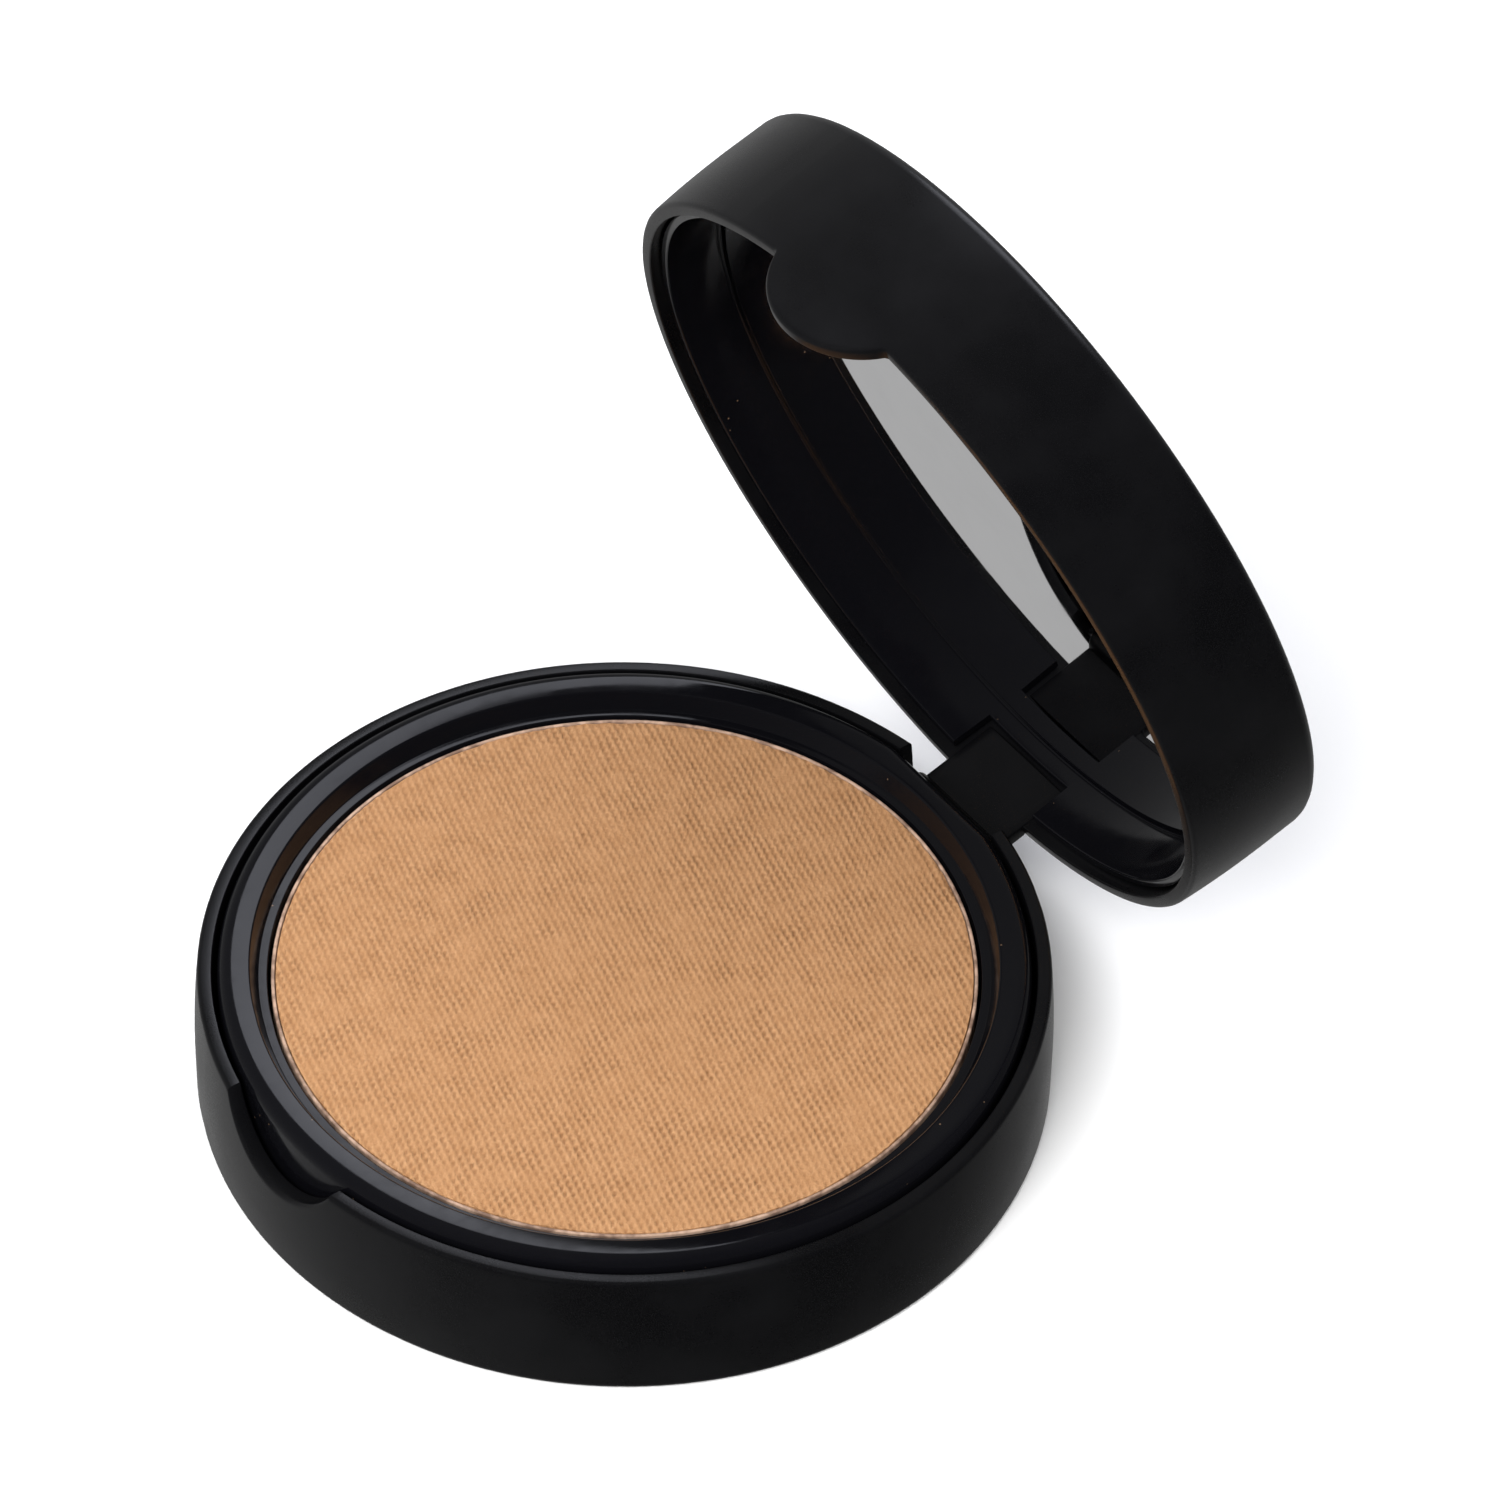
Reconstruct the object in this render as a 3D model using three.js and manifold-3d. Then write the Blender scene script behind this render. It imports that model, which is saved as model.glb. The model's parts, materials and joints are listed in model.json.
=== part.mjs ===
// Round powder compact: a base that holds a pan of pressed powder in a raised
// tray, and a deep mirrored lid on a pinned hinge. Units are millimetres, +Z is
// up, the origin is the centre of the underside, the hinge is at the back (+Y)
// and the opening tongue is at the front (-Y). The lid stands open.
import * as THREE from 'three';
import { mergeVertices } from 'three/addons/utils/BufferGeometryUtils.js';
import Module from 'manifold-3d';

const wasm = await Module();
wasm.setup();

// ---- Driving dimensions ----------------------------------------------------

// Both shells
const outerRadius = 36.0;      // widest radius of base and lid
const sideSwell = 0.45;        // how much narrower the shells are at their rims
const fullSideShare = 1 / 3;   // share of a shell's height that keeps the widest radius
const shellWall = 1.2;         // wall thickness at the rims
const floorThickness = 1.4;    // base floor and lid top
const baseHeight = 12.5;       // underside to the base's rim
const lidHeight = 12.9;        // lid's rim to its top face
const rimGap = 0.25;           // between the two rims when shut
const rimRound = 0.4;          // outer edge of both rims
const baseEdgeRound = 0.7;     // bottom edge of the base
const lidEdgeRound = 1.1;      // top edge of the lid

// Tray, pan and powder
const trayGap = 0.45;          // radial play between tray and base wall
const collarRise = 1.1;        // collar's top above the base's rim
const collarBand = 2.7;        // width of the collar's top
const collarShoulder = 1.1;    // rounding of the collar's outer edge
const collarDip = 0.4;         // fall of the collar's top towards the powder
const collarSlope = 0.7;       // width of the collar's inner slope
const lipWidth = 0.75;         // flat lip round the pan
const lipRise = 0.1;           // lip's height over the pan's edge
const trayWall = 1.0;          // tray roof, skirt and floor
const panDrop = 1.1;           // pan's edge below the base's rim
const panGap = 0.3;            // radial play of the pan in its well
const panHeight = 4.3;
const panWall = 0.3;
const powderGap = 0.05;        // powder to pan wall and pan floor
const powderDome = 0.15;       // powder's centre above its shoulder
const powderShoulder = 2.9;    // width of the powder's sloping edge
const glueRadius = 12.0;
const glueThickness = 0.3;
const beadHeight = 1.2;        // tray's snap bead
const beadDepth = 0.3;
const beadLevel = 5.0;         // middle of the snap bead above the underside

// Hinge
const openAngle = 74.0;        // degrees from shut to the modelled pose
const hingeInset = 1.9;        // pin axis inside the widest radius
const hingeDrop = 4.05;        // pin axis below the base's rim
const barrelRadius = 1.75;
const lugWidth = 10.3;
const lugProud = 0.45;         // lug's face inside the lid's inner wall
const lugReach = 4.7;          // lug's height on the wall above the lid's rim
const slotSideGap = 1.2;       // lug to the slot's ends
const slotFloorGap = 0.55;     // barrel to the slot's floor
const earWidth = 2.2;
const earReach = 2.2;          // ear's inner face inside the pin axis
const earLift = 0.3;           // ear's underside above the slot's floor
const pinRadius = 0.6;
const pinClearance = 0.07;     // radial play of the pin in its bores
const pinEndGap = 0.3;
const hingeClearance = 0.3;    // tray and liner to the hinge's fixed parts

// Tongue and notch
const tongueRadius = 7.95;     // rounding of the tongue's edge
const tongueDrop = 4.3;        // tongue's tip below the lid's rim
const notchClearance = 0.3;
const catchRadius = 0.7;       // bead inside the tongue
const catchLength = 6.0;
const catchProud = 0.3;        // bead's height above the tongue's inner face
const catchLift = 1.5;         // bead's middle above the tongue's tip

// Mirror and its liner
const linerGap = 0.2;          // radial play between liner and lid wall
const linerWall = 0.8;
const linerInset = 1.0;        // liner's edge inside the lid's rim
const mirrorInset = 6.7;       // mirror's face inside the lid's rim
const mirrorThickness = 1.5;
const mirrorGap = 0.3;         // radial play of the mirror in the liner
const tapeThickness = 0.4;
const tapeMargin = 3.0;        // tape's edge inside the mirror's edge
const seatGap = 0.1;           // between stacked parts in the lid

// Underside label
const labelRadius = 20.0;
const labelThickness = 0.25;
const labelGap = 0.3;

// Smoothness and cutting
const turns = 60;              // facets round every turned part
const arcSteps = 3;            // facets on a small rounding
const sideSteps = 3;           // bands on a shell's swelling side
const pinSides = 24;
const tongueSides = 48;
const catchSides = 16;
const overshoot = 1.0;         // how far a cut runs past what it cuts
const weldDistance = 1e-4;     // vertices closer than this become one

// ---- Derived dimensions ----------------------------------------------------

const rimRadius = outerRadius - sideSwell;
const boreRadius = rimRadius - shellWall;
const trayRadius = boreRadius - trayGap;
const collarTop = baseHeight + collarRise;
const collarInner = trayRadius - collarBand;
const lipOuter = collarInner - collarSlope;
const wellRadius = lipOuter - lipWidth;
const panRadius = wellRadius - panGap;
const panTop = baseHeight - panDrop;
const panBottom = panTop - panHeight;
const trayFloorTop = panBottom - glueThickness - 2 * powderGap;
const roofUnderside = collarTop - collarDip - trayWall;
const lidRim = baseHeight + rimGap;
const hingeY = outerRadius - hingeInset;
const hingeZ = baseHeight - hingeDrop;
const slotHalf = lugWidth / 2 + slotSideGap;
const slotFloor = hingeZ - barrelRadius - slotFloorGap;
const earOuter = slotHalf + earWidth;
const earInnerY = hingeY - earReach;
const lugFaceY = boreRadius - lugProud;
const tongueCentre = lidRim - tongueDrop + tongueRadius;
const linerRadius = boreRadius - linerGap;
const linerBore = linerRadius - linerWall;
const mirrorRadius = linerBore - mirrorGap;
const mirrorFace = lidRim + mirrorInset;
const tapeFace = mirrorFace + mirrorThickness + seatGap;
const linerFloor = tapeFace + tapeThickness + seatGap;
const farOutside = outerRadius + 10 * overshoot;
const earBottom = slotFloor + earLift;
const earTop = roofUnderside - 2 * hingeClearance;

// ---- Solid helpers ---------------------------------------------------------

// Turns a closed geometry into a solid, dropping its zero-area triangles.
function toSolid(geometry) {
  geometry.deleteAttribute('normal');
  geometry.deleteAttribute('uv');
  const merged = mergeVertices(geometry, weldDistance);
  const index = merged.index.array;
  const triVerts = [];
  for (let i = 0; i < index.length; i += 3) {
    const [a, b, c] = [index[i], index[i + 1], index[i + 2]];
    if (a !== b && b !== c && c !== a) triVerts.push(a, b, c);
  }
  return new wasm.Manifold(new wasm.Mesh({
    numProp: 3,
    vertProperties: merged.attributes.position.array,
    triVerts: Uint32Array.from(triVerts),
  }));
}

function toGeometry(solid) {
  const mesh = solid.getMesh();
  const geometry = new THREE.BufferGeometry();
  geometry.setAttribute('position', new THREE.BufferAttribute(mesh.vertProperties, 3));
  geometry.setIndex(new THREE.BufferAttribute(mesh.triVerts, 1));
  geometry.computeVertexNormals();
  return geometry;
}

// Replaces each [radius, height, rounding] corner by an arc of that rounding.
function roundedProfile(corners) {
  const points = [];
  corners.forEach(([r, z, rounding = 0], i) => {
    const corner = new THREE.Vector2(r, z);
    if (rounding === 0) {
      points.push(corner);
      return;
    }
    const before = new THREE.Vector2(...corners[i - 1].slice(0, 2)).sub(corner).normalize();
    const after = new THREE.Vector2(...corners[i + 1].slice(0, 2)).sub(corner).normalize();
    const half = Math.acos(before.dot(after)) / 2;
    const middle = before.clone().add(after).normalize();
    const centre = middle.multiplyScalar(rounding / Math.sin(half)).add(corner);
    const start = before.multiplyScalar(rounding / Math.tan(half)).add(corner).sub(centre);
    const end = after.multiplyScalar(rounding / Math.tan(half)).add(corner).sub(centre);
    const sweep = Math.atan2(start.cross(end), start.dot(end));
    for (let k = 0; k <= arcSteps; k += 1) {
      const spoke = start.clone().rotateAround(new THREE.Vector2(), (sweep * k) / arcSteps);
      points.push(spoke.add(centre));
    }
  });
  return points;
}

// Solid turned about +Z from a closed profile of [radius, height, rounding] corners.
function turned(corners) {
  const points = roundedProfile(corners);
  if (THREE.ShapeUtils.area(points) < 0) points.reverse();
  points.push(points[0].clone());
  const geometry = new THREE.LatheGeometry(points, turns);
  geometry.rotateX(Math.PI / 2);
  return toSolid(geometry);
}

function box(xLow, xHigh, yLow, yHigh, zLow, zHigh) {
  const geometry = new THREE.BoxGeometry(xHigh - xLow, yHigh - yLow, zHigh - zLow);
  geometry.translate((xLow + xHigh) / 2, (yLow + yHigh) / 2, (zLow + zHigh) / 2);
  return toSolid(geometry);
}

// Cylinder along X, from one x to another, centred on (y, z).
function rodAlongX(radius, xLow, xHigh, y, z, sides = pinSides) {
  const geometry = new THREE.CylinderGeometry(radius, radius, xHigh - xLow, sides);
  geometry.rotateZ(Math.PI / 2);
  geometry.translate((xLow + xHigh) / 2, y, z);
  return toSolid(geometry);
}

// Cylinder along Y through the front wall, centred on (0, z).
function frontPlug(radius, z) {
  const length = farOutside - boreRadius / 2;
  const geometry = new THREE.CylinderGeometry(radius, radius, length, tongueSides);
  geometry.translate(0, -(farOutside + boreRadius / 2) / 2, z);
  return toSolid(geometry);
}

// Side wall's outline between two levels: full radius at one, rim radius at the other.
function sideCurve(fullLevel, rimLevel) {
  const corners = [];
  for (let k = 0; k <= sideSteps; k += 1) {
    const t = k / sideSteps;
    corners.push([outerRadius - sideSwell * t * t, fullLevel + (rimLevel - fullLevel) * t]);
  }
  return corners;
}

// ---- Base ------------------------------------------------------------------

function baseShell() {
  const rimStart = baseHeight - rimRound;
  const body = turned([
    [0, 0],
    [outerRadius, 0, baseEdgeRound],
    ...sideCurve(baseHeight * fullSideShare, rimStart),
    [rimRadius - rimRound, baseHeight],
    [boreRadius, baseHeight],
    [boreRadius, beadLevel + beadHeight],
    [boreRadius + beadDepth, beadLevel + beadHeight / 2],
    [boreRadius + beadDepth, beadLevel - beadHeight / 2],
    [boreRadius, beadLevel - beadHeight],
    [boreRadius, floorThickness],
    [0, floorThickness],
  ]);
  const labelRecess = turned([
    [0, -overshoot],
    [labelRadius + labelGap, -overshoot],
    [labelRadius + labelGap, labelThickness + labelGap],
    [0, labelThickness + labelGap],
  ]);
  const notch = frontPlug(tongueRadius + notchClearance, tongueCentre);
  const slot = box(-slotHalf, slotHalf, boreRadius / 2, farOutside, slotFloor, farOutside);
  const pinBore = rodAlongX(pinRadius + pinClearance, -farOutside, earOuter - pinEndGap, hingeY, hingeZ);
  return body.add(hingeEars()).subtract(notch).subtract(slot).subtract(labelRecess).subtract(pinBore);
}

// Block on the wall that holds the pin. The slot splits it into two ears.
function hingeEars() {
  const blocks = box(-earOuter, earOuter, earInnerY, farOutside, earBottom, earTop);
  const inside = turned([
    [0, earBottom - overshoot],
    [boreRadius + shellWall / 2, earBottom - overshoot],
    [boreRadius + shellWall / 2, earTop + overshoot],
    [0, earTop + overshoot],
  ]);
  return blocks.intersect(inside);
}

function innerTray() {
  const skirtBottom = floorThickness + seatGap;
  const body = turned([
    [0, trayFloorTop - trayWall],
    [wellRadius + trayWall, trayFloorTop - trayWall],
    [wellRadius + trayWall, roofUnderside],
    [trayRadius - trayWall, roofUnderside],
    [trayRadius - trayWall, skirtBottom],
    [trayRadius, skirtBottom],
    [trayRadius, beadLevel - beadHeight / 2],
    [trayRadius + beadDepth, beadLevel],
    [trayRadius, beadLevel + beadHeight / 2],
    [trayRadius, collarTop, collarShoulder],
    [collarInner, collarTop - collarDip, collarDip],
    [lipOuter, panTop + lipRise],
    [wellRadius, panTop + lipRise],
    [wellRadius, trayFloorTop],
    [0, trayFloorTop],
  ]);
  return body.subtract(hingeRelief());
}

// Room in the tray for the ears, and behind its collar for the lid's lug.
function hingeRelief() {
  const half = earOuter + hingeClearance;
  const bottom = slotFloor - hingeClearance;
  const top = earTop + hingeClearance;
  const flatY = lugFaceY - 2 * hingeClearance;
  const aroundEars = box(-half, half, earInnerY - hingeClearance, farOutside, bottom, top);
  const behindCollar = box(-half, half, flatY, farOutside, bottom, farOutside);
  return aroundEars.add(behindCollar);
}

function powderPan() {
  return turned([
    [0, panBottom],
    [panRadius, panBottom, 2 * panWall],
    [panRadius, panTop],
    [panRadius - panWall, panTop],
    [panRadius - panWall, panBottom + panWall],
    [0, panBottom + panWall],
  ]);
}

function pressedPowder() {
  const radius = panRadius - panWall - powderGap;
  const bottom = panBottom + panWall + powderGap;
  return turned([
    [0, bottom],
    [radius, bottom],
    [radius, panTop - powderDome, powderDome],
    [radius - powderShoulder, panTop],
    [0, panTop + powderDome],
  ]);
}

function panGlue() {
  return turned([
    [0, trayFloorTop + powderGap],
    [glueRadius, trayFloorTop + powderGap],
    [glueRadius, trayFloorTop + powderGap + glueThickness],
    [0, trayFloorTop + powderGap + glueThickness],
  ]);
}

function baseLabel() {
  return turned([
    [0, 0],
    [labelRadius, 0],
    [labelRadius, labelThickness],
    [0, labelThickness],
  ]);
}

function hingePin() {
  const end = earOuter - 2 * pinEndGap;
  return rodAlongX(pinRadius, -end, end, hingeY, hingeZ);
}

// ---- Lid, described shut ---------------------------------------------------

function lidShell() {
  const top = lidRim + lidHeight;
  const body = turned([
    [0, top],
    [outerRadius, top, lidEdgeRound],
    ...sideCurve(top - lidHeight * fullSideShare, lidRim + rimRound),
    [rimRadius - rimRound, lidRim],
    [boreRadius, lidRim],
    [boreRadius, top - floorThickness],
    [0, top - floorThickness],
  ]);
  const pinBore = rodAlongX(pinRadius + pinClearance, -lugWidth, lugWidth, hingeY, hingeZ);
  return body.add(tongue()).add(hingeLug()).subtract(pinBore);
}

// Round-ended tongue that continues the front wall below the rim, with its catch bead.
function tongue() {
  const low = lidRim - tongueDrop - overshoot;
  const high = lidRim + shellWall;
  const wall = turned([
    [boreRadius, low],
    [rimRadius, low],
    [rimRadius, high],
    [boreRadius, high],
  ]);
  const tab = wall.intersect(frontPlug(tongueRadius, tongueCentre));
  const beadY = -(boreRadius + catchRadius - catchProud);
  const beadZ = lidRim - tongueDrop + catchLift;
  const bead = rodAlongX(catchRadius, -catchLength / 2, catchLength / 2, beadY, beadZ, catchSides);
  return tab.add(bead);
}

// Flat-faced lug on the back wall, ending in the barrel round the pin.
function hingeLug() {
  const half = lugWidth / 2;
  const plate = box(-half, half, lugFaceY, farOutside, hingeZ, lidRim + lugReach);
  const inside = turned([
    [0, hingeZ - overshoot],
    [rimRadius, hingeZ - overshoot],
    [rimRadius, lidRim + lugReach + overshoot],
    [0, lidRim + lugReach + overshoot],
  ]);
  return plate.intersect(inside).add(rodAlongX(barrelRadius, -half, half, hingeY, hingeZ));
}

function mirrorLiner() {
  const body = turned([
    [0, linerFloor],
    [linerBore, linerFloor],
    [linerBore, lidRim + linerInset],
    [linerRadius, lidRim + linerInset],
    [linerRadius, linerFloor + linerWall],
    [0, linerFloor + linerWall],
  ]);
  const half = lugWidth / 2 + hingeClearance;
  const lugRelief = box(-half, half, linerBore / 2, farOutside, 0, lidRim + lugReach + hingeClearance);
  return body.subtract(lugRelief);
}

function disc(radius, low, thickness) {
  return turned([
    [0, low],
    [radius, low],
    [radius, low + thickness],
    [0, low + thickness],
  ]);
}

// ---- Scene graph -----------------------------------------------------------

function material(color, roughness, metalness = 0) {
  return new THREE.MeshStandardMaterial({ color, roughness, metalness });
}

function piece(name, solid, look) {
  const mesh = new THREE.Mesh(toGeometry(solid), look);
  mesh.name = name;
  return mesh;
}

const compact = new THREE.Group();
compact.add(
  piece('base_shell', baseShell(), material(0x101012, 0.5)),
  piece('inner_tray', innerTray(), material(0x16161a, 0.15)),
  piece('powder_pan', powderPan(), material(0xc8cacc, 0.35, 1)),
  piece('pan_glue', panGlue(), material(0xe6dcc0, 0.5)),
  piece('pressed_powder', pressedPowder(), material(0xc99a66, 0.9)),
  piece('base_label', baseLabel(), material(0x1a1a1c, 0.6)),
  piece('hinge_pin', hingePin(), material(0xb8babd, 0.3, 1)),
);

const lidPieces = new THREE.Group();
lidPieces.position.set(0, -hingeY, -hingeZ);
lidPieces.add(
  piece('lid_shell', lidShell(), material(0x101012, 0.5)),
  piece('mirror_liner', mirrorLiner(), material(0x121214, 0.3)),
  piece('mirror', disc(mirrorRadius, mirrorFace, mirrorThickness), material(0xdfe3e6, 0.02, 1)),
  piece('mirror_tape', disc(mirrorRadius - tapeMargin, tapeFace, tapeThickness), material(0xf0f0ee, 0.8)),
);

const lidHinge = new THREE.Group();
lidHinge.position.set(0, hingeY, hingeZ);
lidHinge.rotation.x = THREE.MathUtils.degToRad(-openAngle);
lidHinge.add(lidPieces);
compact.add(lidHinge);

export default compact;
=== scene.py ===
"""Round powder compact, standing open: its looks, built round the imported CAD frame.

Metres, +Z up. The tongue's notch is at the front (-Y) and the hinge at the back (+Y).
Lid pieces are modelled shut, above the base, and then turned open about the hinge pin.
"""
import math

import bmesh
import bpy
import json
from mathutils import Matrix, Vector, noise


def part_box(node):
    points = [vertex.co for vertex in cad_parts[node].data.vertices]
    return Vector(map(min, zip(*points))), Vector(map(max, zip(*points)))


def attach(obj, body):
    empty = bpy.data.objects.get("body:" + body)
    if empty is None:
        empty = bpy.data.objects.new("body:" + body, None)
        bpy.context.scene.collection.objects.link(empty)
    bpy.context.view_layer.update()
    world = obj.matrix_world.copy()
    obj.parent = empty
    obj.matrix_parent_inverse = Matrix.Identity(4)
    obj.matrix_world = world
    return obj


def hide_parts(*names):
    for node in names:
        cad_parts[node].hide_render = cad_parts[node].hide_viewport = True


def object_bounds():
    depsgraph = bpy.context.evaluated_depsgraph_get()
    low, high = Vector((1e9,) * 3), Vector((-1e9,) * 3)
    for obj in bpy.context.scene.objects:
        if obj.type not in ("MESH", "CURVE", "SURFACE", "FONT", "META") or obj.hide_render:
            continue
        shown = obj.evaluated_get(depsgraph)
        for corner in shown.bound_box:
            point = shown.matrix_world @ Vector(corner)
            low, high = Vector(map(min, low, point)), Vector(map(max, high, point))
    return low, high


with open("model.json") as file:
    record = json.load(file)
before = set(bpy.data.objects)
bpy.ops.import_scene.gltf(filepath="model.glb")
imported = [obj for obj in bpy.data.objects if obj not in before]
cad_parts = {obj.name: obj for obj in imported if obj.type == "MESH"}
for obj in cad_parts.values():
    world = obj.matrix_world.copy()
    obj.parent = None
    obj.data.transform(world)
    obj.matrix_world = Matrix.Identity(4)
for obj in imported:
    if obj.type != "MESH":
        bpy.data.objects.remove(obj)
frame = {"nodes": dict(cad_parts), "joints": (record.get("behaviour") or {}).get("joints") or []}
cad_low, cad_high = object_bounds()

MM = 0.001

# ---- Sizes taken from the frame ---------------------------------------------

hinge = frame["joints"][0]
hinge_at = Vector(hinge["pos_m"])
open_angle = -math.radians(hinge["range_deg"][0])
open_lid = (
    Matrix.Translation(hinge_at)
    @ Matrix.Rotation(-open_angle, 4, "X")
    @ Matrix.Translation(-hinge_at)
)
shut_lid = open_lid.inverted()


def shut_box(node):
    """Lowest and highest corner of a lid node when the lid is shut."""
    points = [shut_lid @ v.co for v in frame["nodes"][node].data.vertices]
    low = Vector([min(p[i] for p in points) for i in range(3)])
    high = Vector([max(p[i] for p in points) for i in range(3)])
    return low, high


outer_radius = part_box("base_shell")[1].x
base_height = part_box("base_shell")[1].z
collar_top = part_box("inner_tray")[1].z
tray_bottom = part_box("inner_tray")[0].z
pan_low, pan_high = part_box("powder_pan")
powder_low, powder_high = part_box("pressed_powder")
label_low, label_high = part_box("base_label")
pin_low, pin_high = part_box("hinge_pin")
lid_top = shut_box("lid_shell")[1].z
liner_low, liner_high = shut_box("mirror_liner")
mirror_low, mirror_high = shut_box("mirror")

# ---- Sizes that the boxes don't show ----------------------------------------

SIDE_SWELL = 0.45 * MM
FULL_SIDE_SHARE = 1 / 3
SHELL_WALL = 1.2 * MM
FLOOR = 1.4 * MM
RIM_GAP = 0.25 * MM
RIM_ROUND = 0.4 * MM
RIM_INNER_ROUND = 0.15 * MM
BASE_EDGE_ROUND = 0.7 * MM
LID_EDGE_ROUND = 1.1 * MM
FLOOR_FILLET = 0.6 * MM
NOTCH_RADIUS = 8.25 * MM
TONGUE_RADIUS = 7.95 * MM
TONGUE_DROP = 4.3 * MM
SLOT_HALF = 6.35 * MM
SLOT_FLOOR = 6.15 * MM
LABEL_GAP = 0.3 * MM

TRAY_GAP = 0.45 * MM
TRAY_WALL = 1.0 * MM
COLLAR_BAND = 2.7 * MM
COLLAR_SHOULDER = 1.1 * MM
COLLAR_DIP = 0.4 * MM
COLLAR_SLOPE = 0.7 * MM
LIP_WIDTH = 0.75 * MM
LIP_RISE = 0.1 * MM
PAN_WALL = 0.3 * MM
GLUE_ROOM = 0.4 * MM
TRAY_FLAT_Y = 33.3 * MM
RELIEF_HALF = 8.85 * MM

EAR_INNER_Y = 31.9 * MM
EAR_OUTER_Y = 34.3 * MM
EAR_OUTER = 8.55 * MM
EAR_BOTTOM = 6.45 * MM
EAR_TOP = 11.6 * MM

LUG_HALF = 5.15 * MM
LUG_FACE_Y = 33.9 * MM
LUG_REACH = 4.7 * MM
LUG_BURIED = 0.45 * MM
BARREL_RADIUS = 1.75 * MM
CATCH_RADIUS = 0.7 * MM
CATCH_HALF = 3.0 * MM
CATCH_PROUD = 0.3 * MM
CATCH_LIFT = 1.5 * MM

LINER_WALL = 0.8 * MM
LINER_ROUND = 0.18 * MM
MIRROR_BEVEL = 0.45 * MM
MIRROR_SEAM = 0.03 * MM

CRISP_ROUND = 0.1 * MM
RECESS_ROUND = 0.15 * MM
EAR_ROUND = 0.2 * MM
LUG_ROUND = 0.15 * MM
LABEL_ROUND = 0.08 * MM
LIP_ROUND = 0.12 * MM
SOFT_ROUND = 0.3 * MM
RELIEF_SKIRT = 0.3 * MM
LUG_RELIEF = 0.3 * MM
RIDGE_PROUD = 0.22 * MM

rim_radius = outer_radius - SIDE_SWELL
bore_radius = rim_radius - SHELL_WALL
lid_rim = base_height + RIM_GAP
lid_height = lid_top - lid_rim
tongue_centre = lid_rim - TONGUE_DROP + TONGUE_RADIUS
tray_radius = bore_radius - TRAY_GAP



# ---- Mesh helpers -----------------------------------------------------------


def rounded(corners, steps=5):
    """An outline whose (across, up, rounding) corners are arcs. Rounding 0 keeps the corner."""
    outline = []
    for i, (across, up, rounding) in enumerate(corners):
        corner = Vector((across, up))
        if rounding == 0:
            outline.append(corner)
            continue
        before = (Vector(corners[i - 1][:2]) - corner).normalized()
        after = (Vector(corners[(i + 1) % len(corners)][:2]) - corner).normalized()
        half = before.angle(after) / 2
        centre = corner + (before + after).normalized() * rounding / math.sin(half)
        start = corner + before * rounding / math.tan(half) - centre
        end = corner + after * rounding / math.tan(half) - centre
        sweep = start.angle_signed(end)
        for k in range(steps + 1):
            spoke = start.copy()
            spoke.rotate(Matrix.Rotation(-sweep * k / steps, 2))
            outline.append(centre + spoke)
    return outline


class Station:
    """One place round a turned part. Near the front and back it keeps its x at the outer radii."""

    straight_share = 0.9

    def __init__(self, angle, x=None):
        self.angle = angle
        self.x = x
        self.front = math.sin(angle) < 0

    def place(self, radius):
        if self.x is None or radius < self.straight_share * outer_radius:
            return radius * math.cos(self.angle), radius * math.sin(self.angle)
        y = math.sqrt(radius * radius - self.x * self.x)
        return self.x, -y if self.front else y


def stations(front_step, back_step, back_edges=()):
    """Stations round a part, closer at the front and back, with a pair at each sharp edge behind."""
    edge = 0.04 * MM
    reach = 13 * MM
    found = []
    turn = math.radians(1.5)
    clear = math.radians(24)
    count = round(2 * math.pi / turn)
    for k in range(count):
        angle = -math.pi + k * turn
        off = min(abs(angle + math.pi / 2), abs(angle - math.pi / 2))
        if off > clear:
            found.append(Station(angle))
    for step, side in ((front_step, -1), (back_step, 1)):
        number = round(reach / step)
        across = [reach * k / number for k in range(-number, number + 1)]
        if side > 0:
            across = [x for x in across if all(abs(abs(x) - e) > 3 * edge for e in back_edges)]
            across += [s * e + d for e in back_edges for s in (-1, 1) for d in (-edge, edge)]
        for x in across:
            found.append(Station(side * math.acos(x / outer_radius), x))
    return sorted(found, key=lambda s: s.angle)


def even_stations(count):
    return [Station(2 * math.pi * k / count - math.pi) for k in range(count)]


def skin(name, around, outline_at):
    """A closed mesh through one outline per station, each from the axis round to the axis."""
    mesh = bmesh.new()
    poles = {}
    rows = []
    for station in around:
        row = []
        for i, (radius, up) in enumerate(outline_at(station)):
            if radius == 0:
                if i not in poles:
                    poles[i] = mesh.verts.new((0, 0, up))
                row.append(poles[i])
            else:
                x, y = station.place(radius)
                row.append(mesh.verts.new((x, y, up)))
        rows.append(row)
    for j, row in enumerate(rows):
        beside = rows[(j + 1) % len(rows)]
        for i in range(len(row) - 1):
            corners = [row[i], beside[i], beside[i + 1], row[i + 1]]
            kept = [v for n, v in enumerate(corners) if v not in corners[:n]]
            mesh.faces.new(kept)
    return solid(name, mesh)


def extrude(outlines):
    """A closed mesh through outlines of the same length, each (x, [(y, z), ...])."""
    mesh = bmesh.new()
    rows = [[mesh.verts.new((x, y, z)) for y, z in outline] for x, outline in outlines]
    for row, beside in zip(rows, rows[1:]):
        for i in range(len(row)):
            k = (i + 1) % len(row)
            mesh.faces.new((row[i], beside[i], beside[k], row[k]))
    mesh.faces.new(rows[0])
    mesh.faces.new(list(reversed(rows[-1])))
    return mesh


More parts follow.
